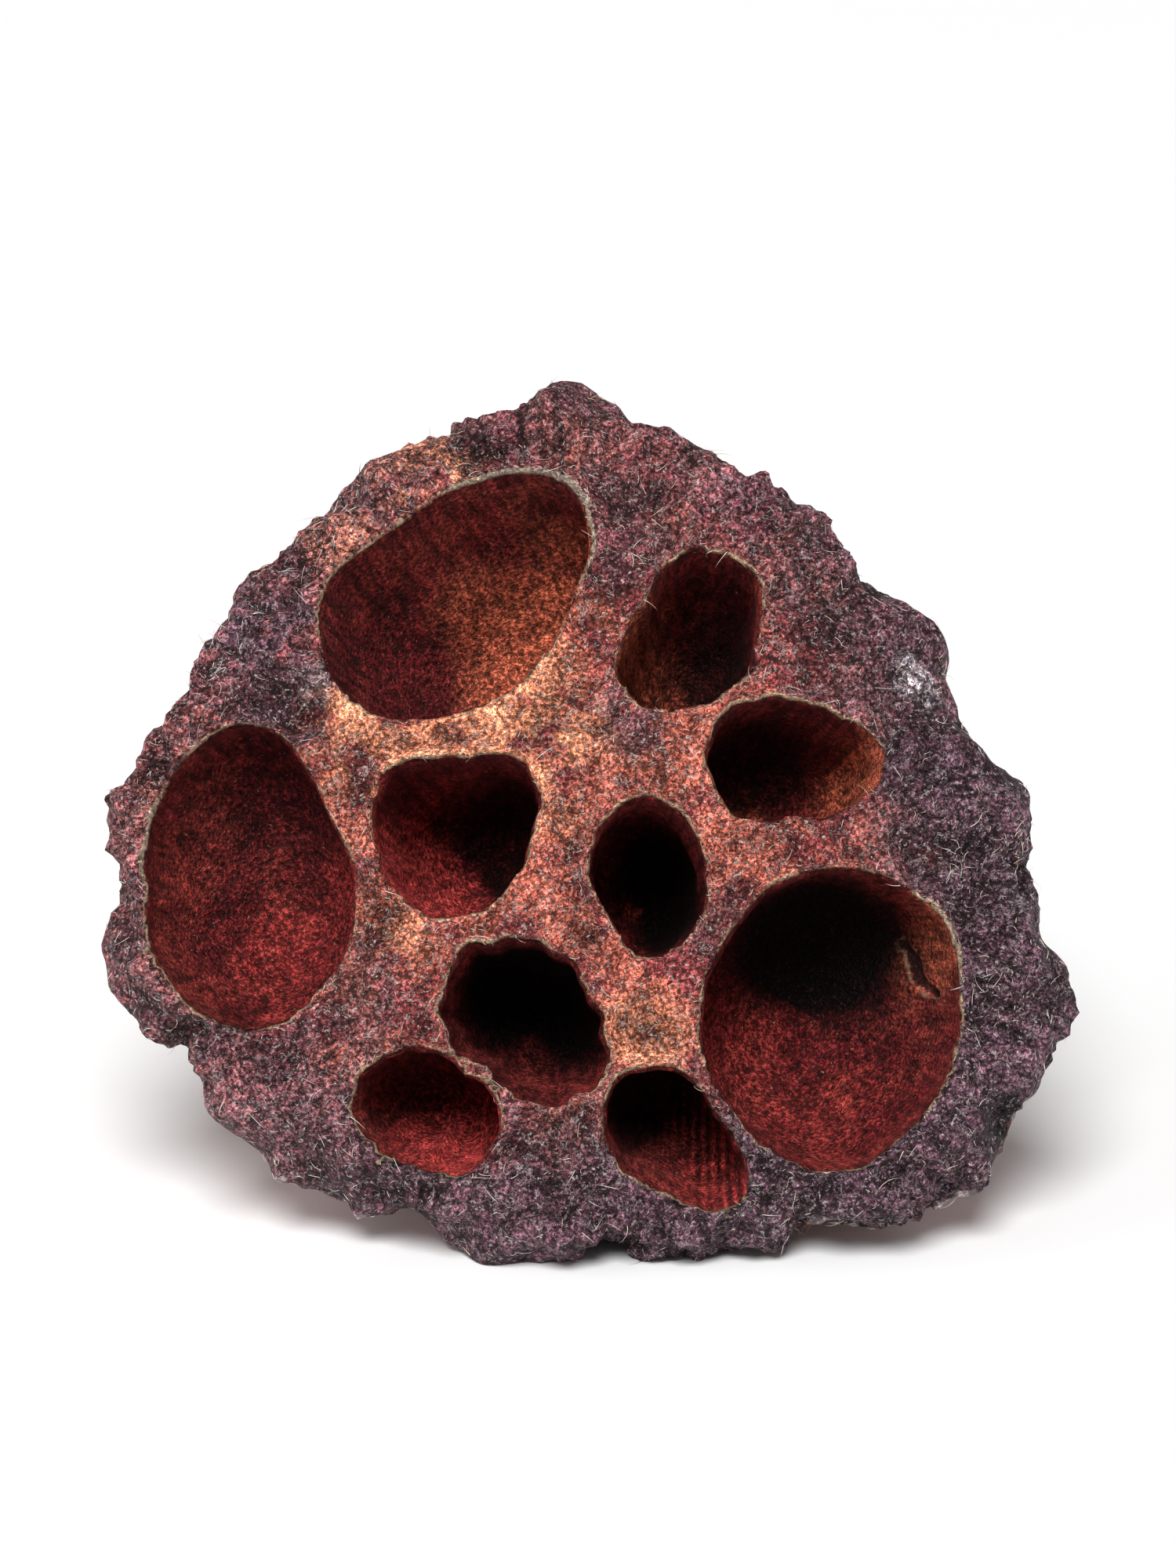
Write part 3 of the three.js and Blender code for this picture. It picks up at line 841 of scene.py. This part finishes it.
def fibre_model(cuts):
    """One three-sided hair of unit length, modelled once: points as share along it and offset across it."""
    bpy.ops.object.select_all(action="DESELECT")
    bpy.ops.mesh.primitive_cylinder_add(vertices=3, radius=1, depth=1, end_fill_type="TRIFAN")
    hair = bpy.context.object
    bpy.ops.object.mode_set(mode="EDIT")
    bpy.ops.mesh.select_mode(type="EDGE")
    bpy.ops.mesh.select_all(action="DESELECT")
    bpy.ops.object.mode_set(mode="OBJECT")
    for side in hair.data.edges:
        a, b = [hair.data.vertices[v].co for v in side.vertices]
        side.select = abs(a.z - b.z) > 0.5
    bpy.ops.object.mode_set(mode="EDIT")
    bpy.ops.mesh.subdivide(number_cuts=cuts)
    bpy.ops.object.mode_set(mode="OBJECT")
    points = get_points(hair.data)
    faces = [list(face.vertices) for face in hair.data.polygons]
    bpy.data.objects.remove(hair)
    return points[:, 2] + 0.5, points[:, :2], faces


def fibre_points(model, roots, heading, lift, length, radius, curl):
    """Copies of the model hair, each bent away from its root along its own heading."""
    share, offset, _ = model
    across = unit(np.cross(lift, heading))
    s = share[None, :, None]
    bend = curl[:, None, None] * s
    bent = np.abs(bend) > 1e-3
    divisor = np.where(bent, bend, 1)
    forward = np.where(bent, np.sin(bend) / divisor, 1) * s
    sideways = np.where(bent, (1 - np.cos(bend)) / divisor, 0) * s
    spine = forward * heading[:, None] + sideways * across[:, None] + 0.35 * s * (1 - 0.7 * s) * lift[:, None]
    points = roots[:, None] + length[:, None, None] * spine
    thick = radius[:, None, None] * (1 - 0.75 * s)
    points = points + thick * (offset[None, :, :1] * across[:, None] + offset[None, :, 1:] * lift[:, None])
    return points


def join_copies(name, points, faces):
    """One mesh from many copies of the same faces."""
    count, each, _ = points.shape
    corners = [[v + copy * each for v in face] for copy in range(count) for face in faces]
    mesh = bpy.data.meshes.new(name)
    mesh.from_pydata(points.reshape(-1, 3).tolist(), [], corners)
    piece = bpy.data.objects.new(name, mesh)
    bpy.context.collection.objects.link(piece)
    return piece


def extent(name, description, millimetres):
    return FloatProperty(name=name, description=description, default=millimetres * MM, min=0, unit="LENGTH")


class LotusPodSizes(bpy.types.PropertyGroup):
    """Sizes of the finer forms that the pod's solids leave out."""

    voxel: extent("Voxel", "Size of the husk's finest faces", 0.525)
    stub_voxel: extent("Stub voxel", "Size of the stub's finest faces", 0.28)
    lip_height: extent("Lip height", "Rise of the lip round a seed cavity", 0.35)
    collar_height: extent("Collar height", "Rise of the face towards a seed cavity", 0.8)
    crag_height: extent("Crag height", "Height of the crags along the rim", 1.5)
    wrinkle_height: extent("Wrinkle height", "Height of the wrinkles down the flank", 0.7)
    fibre_count: IntProperty(
        name="Fibres", description="How many loose fibres cling to the husk", default=2000, min=1)
    fibre_length: extent("Fibre length", "Length of the longest common fibre", 2)
    fibre_radius: extent("Fibre radius", "Radius of a fibre at its root", 0.05)


def tint(name, description, default):
    return FloatVectorProperty(
        name=name, description=description, default=default, subtype="COLOR", min=0, max=1)


class LotusPodTints(bpy.types.PropertyGroup):
    """Colours of the pod, its fibres and the floor, as linear red, green and blue."""

    face_red: tint("Face red", "Red-brown of the seed face", (0.32, 0.06, 0.06))
    face_terracotta: tint("Face terracotta", "Lighter red of the middle of the face", (0.6, 0.15, 0.1))
    face_orange: tint("Face orange", "Worn orange patches of the face", (0.95, 0.34, 0.18))
    face_plum: tint("Face plum", "Dark stains of the face", (0.17, 0.075, 0.1))
    rim_violet: tint("Rim violet", "Grey violet towards the rim", (0.225, 0.098, 0.12))
    rim_dark: tint("Rim dark", "Dark violet of the rim", (0.105, 0.05, 0.072))
    # Pale grains of the face, also used as painted glints.
    pale_speck_and_glint: tint("Pale specks", "Pale grains on the face", (0.85, 0.7, 0.64))
    # Painted shade for pits, clefts, creases, fold grooves and the torn places.
    recess_shade: tint("Dark pits", "Pits and clefts", (0.02, 0.009, 0.009))
    wall_mahogany: tint("Wall mahogany", "Dark red of the cavity walls", (0.12, 0.01, 0.012))
    wall_orange: tint("Wall orange", "Lighter red of the cavity walls", (0.26, 0.035, 0.028))
    # Brighter red of the cavity walls, partly painted light.
    wall_lit_crimson: tint("Wall crimson", "Brighter red of the cavity walls", (0.54, 0.06, 0.055))
    # Orange of the brightest cavity walls, partly painted light.
    wall_lit_orange: tint("Wall glow", "Orange of the brightest cavity walls", (0.58, 0.14, 0.07))
    lip_tan: tint("Lip tan", "Thin pale lips of the cavities", (0.95, 0.66, 0.42))
    flank_rust: tint("Flank rust", "Rusty patches of the flank", (0.5, 0.17, 0.08))
    skin_lavender: tint("Skin lavender", "Pale lavender skin of the flank", (0.66, 0.54, 0.57))
    flank_brown: tint("Flank brown", "Brown of the flank", (0.3, 0.12, 0.07))
    stem_orange: tint("Stem orange", "Orange brown of the flank near the stem", (0.52, 0.25, 0.12))
    bloom_grey: tint("Bloom grey", "Lavender-grey bloom", (0.50, 0.43, 0.46))
    stem_straw: tint("Stem straw", "Straw of the stem's tissue", (1.0, 0.72, 0.42))
    stem_brown: tint("Stem brown", "Brown of the stem's pores", (0.62, 0.38, 0.19))
    fibre_tan: tint("Fibre tan", "Tan of the loose fibres", (0.8, 0.66, 0.5))
    fibre_grey: tint("Fibre grey", "Grey of the loose fibres", (0.74, 0.7, 0.68))
    floor_white: tint("Floor white", "Pale floor", (0.87, 0.87, 0.87))
    floor_grey: tint("Floor grey", "Faint clouds on the floor", (0.85, 0.85, 0.85))


class LotusPodStage(bpy.types.PropertyGroup):
    """Where the camera stands and how strong the lights are."""

    elevation: FloatProperty(
        name="Elevation", description="Angle of the camera above the floor", default=math.radians(19.5),
        subtype="ANGLE")
    lens: FloatProperty(
        name="Lens", description="Focal length of the camera in millimetres", default=135, min=20)
    fill: FloatProperty(
        name="Fill", description="Share of the picture's width that the pod takes up", default=0.8,
        min=0.1, max=1)
    key_strength: FloatProperty(
        name="Key strength", description="Strength of the key light", default=3.6, min=0)
    side_power: FloatProperty(
        name="Side power", description="Power of the side light", default=0.5, unit="POWER")
    sky: FloatProperty(
        name="Sky", description="Strength of the even light from all sides", default=0.25, min=0)


class LOTUSPOD_OT_husk(bpy.types.Operator):
    """Model the receptacle: a reshaped sphere with its seed cavities cut out and its surface sculpted"""

    bl_idname = "lotus_pod.husk"
    bl_label = "Husk"

    def execute(self, context):
        sizes = context.scene.lotus_pod_sizes
        husk = shaped_sphere("pod_husk", HUSK_GRID, pod_point)
        for cavity in CAVITIES:
            cut(husk, shaped_sphere("cutter", CUTTER_GRID, functools.partial(cavity_point, cavity)))
        apply_modifier(husk, "REMESH", mode="VOXEL", voxel_size=sizes.voxel)
        survey = Survey(husk.data)
        sculpt_husk(husk.data, survey, sizes)
        record_husk(husk.data, survey)
        finish_piece(husk, husk_finish(context.scene.lotus_pod_tints))
        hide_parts("receptacle")
        return {"FINISHED"}


class LOTUSPOD_OT_stub(bpy.types.Operator):
    """Model the torn stump of the stem"""

    bl_idname = "lotus_pod.stub"
    bl_label = "Stem stub"

    def execute(self, context):
        sizes = context.scene.lotus_pod_sizes
        stub = shaped_sphere("stem_stump", STUB_GRID, stub_point)
        apply_modifier(stub, "REMESH", mode="VOXEL", voxel_size=sizes.stub_voxel)
        points = to_pod(get_points(stub.data))
        normals = get_normals(stub.data) @ POD_AXES.T
        angle = np.arctan2(points[:, 1], points[:, 0])
        rise = -POD_HEIGHT - points[:, 2]
        grain = np.stack([STEM_RADIUS * np.cos(angle), STEM_RADIUS * np.sin(angle), rise / 5], 1)
        lift = 0.4 * noise_at(points, 3, 5) + 0.35 * noise_at(points, 1.3, 3)
        lift += 0.25 * noise_at(points, 0.65, 8)
        set_points(stub.data, to_frame(points + normals * lift[:, None]))
        write_vectors(stub.data, "grain", grain)
        finish_piece(stub, pith_finish(context.scene.lotus_pod_tints))
        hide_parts("stem_stub")
        return {"FINISHED"}


class LOTUSPOD_OT_fibres(bpy.types.Operator):
    """Scatter loose dry fibres over the face, the lips and the rim"""

    bl_idname = "lotus_pod.fibres"
    bl_label = "Loose fibres"

    def execute(self, context):
        sizes = context.scene.lotus_pod_sizes
        husk = bpy.data.objects["pod_husk"].data
        draw = np.random.default_rng(FIBRE_SEED)
        lip = face_values(husk, "lip")
        edge = face_values(husk, "edge")
        outside = (face_values(husk, "cavity") < 0.5) & (face_values(husk, "down") < 0.1)
        tuft = face_values(husk, "tuft")
        weights = outside * (0.25 + 1.5 * np.exp(-((lip - 0.4) / 0.8) ** 2) + smooth(-8, -1, edge) + 6 * tuft)
        count = sizes.fibre_count
        roots, lift = scatter(husk, weights, count, draw)
        heading = unit(np.cross(lift, unit(draw.normal(size=(count, 3)))))
        length = sizes.fibre_length * (0.2 + 0.8 * draw.random(count) ** 3)
        radius = sizes.fibre_radius * (0.5 + 0.5 * draw.random(count))
        curl = draw.normal(scale=1.3, size=count)
        model = fibre_model(FIBRE_CUTS)
        points = fibre_points(model, roots - FIBRE_ROOT * lift, heading, lift, length, radius, curl)
        points[:, :, 2] = np.maximum(points[:, :, 2], 0.02 * MM)
        fibres = join_copies("loose_fibres", points, model[2])
        finish_piece(fibres, fibre_finish(context.scene.lotus_pod_tints))
        return {"FINISHED"}


def aim(lamp, place, target):
    lamp.location = place
    lamp.rotation_euler = (Vector(target) - Vector(place)).to_track_quat("-Z", "Y").to_euler()


def add_light(name, kind, place, target, power, **settings):
    light = bpy.data.lights.new(name, kind)
    light.energy = power
    for setting, value in settings.items():
        setattr(light, setting, value)
    lamp = bpy.data.objects.new(name, light)
    bpy.context.collection.objects.link(lamp)
    aim(lamp, place, target)


class LOTUSPOD_OT_stage(bpy.types.Operator):
    """Lay the floor and set up the lights and the camera"""

    bl_idname = "lotus_pod.stage"
    bl_label = "Stage"

    def execute(self, context):
        stage = context.scene.lotus_pod_stage
        low, high = [Vector(corner) for corner in CAD_BOX]
        middle = (low + high) / 2

        bpy.ops.object.select_all(action="DESELECT")
        bpy.ops.mesh.primitive_grid_add(x_subdivisions=8, y_subdivisions=8, size=FLOOR_WIDTH)
        floor = bpy.context.object
        floor.name = "floor"
        floor.data.materials.append(floor_finish(context.scene.lotus_pod_tints))

        add_light("key", "SUN", KEY_PLACE, middle, stage.key_strength, angle=KEY_SPREAD)
        add_light("side", "AREA", SIDE_PLACE, middle, stage.side_power, size=SIDE_WIDTH)
        world = bpy.data.worlds.new("soft_sky")
        world.use_nodes = True
        world.node_tree.nodes["Background"].inputs["Color"].default_value = (1, 1, 1, 1)
        world.node_tree.nodes["Background"].inputs["Strength"].default_value = stage.sky
        context.scene.world = world

        camera = bpy.data.cameras.new("camera")
        camera.lens = stage.lens
        camera.sensor_fit = "HORIZONTAL"
        camera.sensor_width = SENSOR_WIDTH
        distance = (high.x - low.x) / stage.fill * stage.lens / camera.sensor_width
        toward = Vector((0, -math.cos(stage.elevation), math.sin(stage.elevation)))
        viewer = bpy.data.objects.new("camera", camera)
        context.collection.objects.link(viewer)
        aim(viewer, middle + distance * toward, middle)
        context.scene.camera = viewer
        context.scene.view_settings.view_transform = "Standard"
        return {"FINISHED"}


class LOTUSPOD_PT_panel(bpy.types.Panel):
    """Steps and settings of the lotus pod"""

    bl_idname = "LOTUSPOD_PT_panel"
    bl_label = "Lotus Pod"
    bl_space_type = "VIEW_3D"
    bl_region_type = "UI"
    bl_category = "Lotus Pod"

    def draw(self, context):
        for step in STEPS:
            self.layout.operator(step.bl_idname)
        for settings in SETTINGS:
            group = getattr(context.scene, settings)
            column = self.layout.column(heading=settings)
            for name in group.bl_rna.properties.keys():
                if name not in ("rna_type", "name"):
                    column.prop(group, name)


STEPS = (LOTUSPOD_OT_husk, LOTUSPOD_OT_stub, LOTUSPOD_OT_fibres, LOTUSPOD_OT_stage)
SETTINGS = {
    "lotus_pod_sizes": LotusPodSizes,
    "lotus_pod_tints": LotusPodTints,
    "lotus_pod_stage": LotusPodStage,
}


def register():
    for made in (*SETTINGS.values(), *STEPS, LOTUSPOD_PT_panel):
        bpy.utils.register_class(made)
    for name, group in SETTINGS.items():
        setattr(bpy.types.Scene, name, PointerProperty(type=group))


def unregister():
    for name in SETTINGS:
        delattr(bpy.types.Scene, name)
    for made in (LOTUSPOD_PT_panel, *reversed(STEPS), *reversed(SETTINGS.values())):
        bpy.utils.unregister_class(made)


def main():
    register()
    bpy.ops.lotus_pod.husk()
    bpy.ops.lotus_pod.stub()
    bpy.ops.lotus_pod.fibres()
    bpy.ops.lotus_pod.stage()


if __name__ == "__main__":
    main()
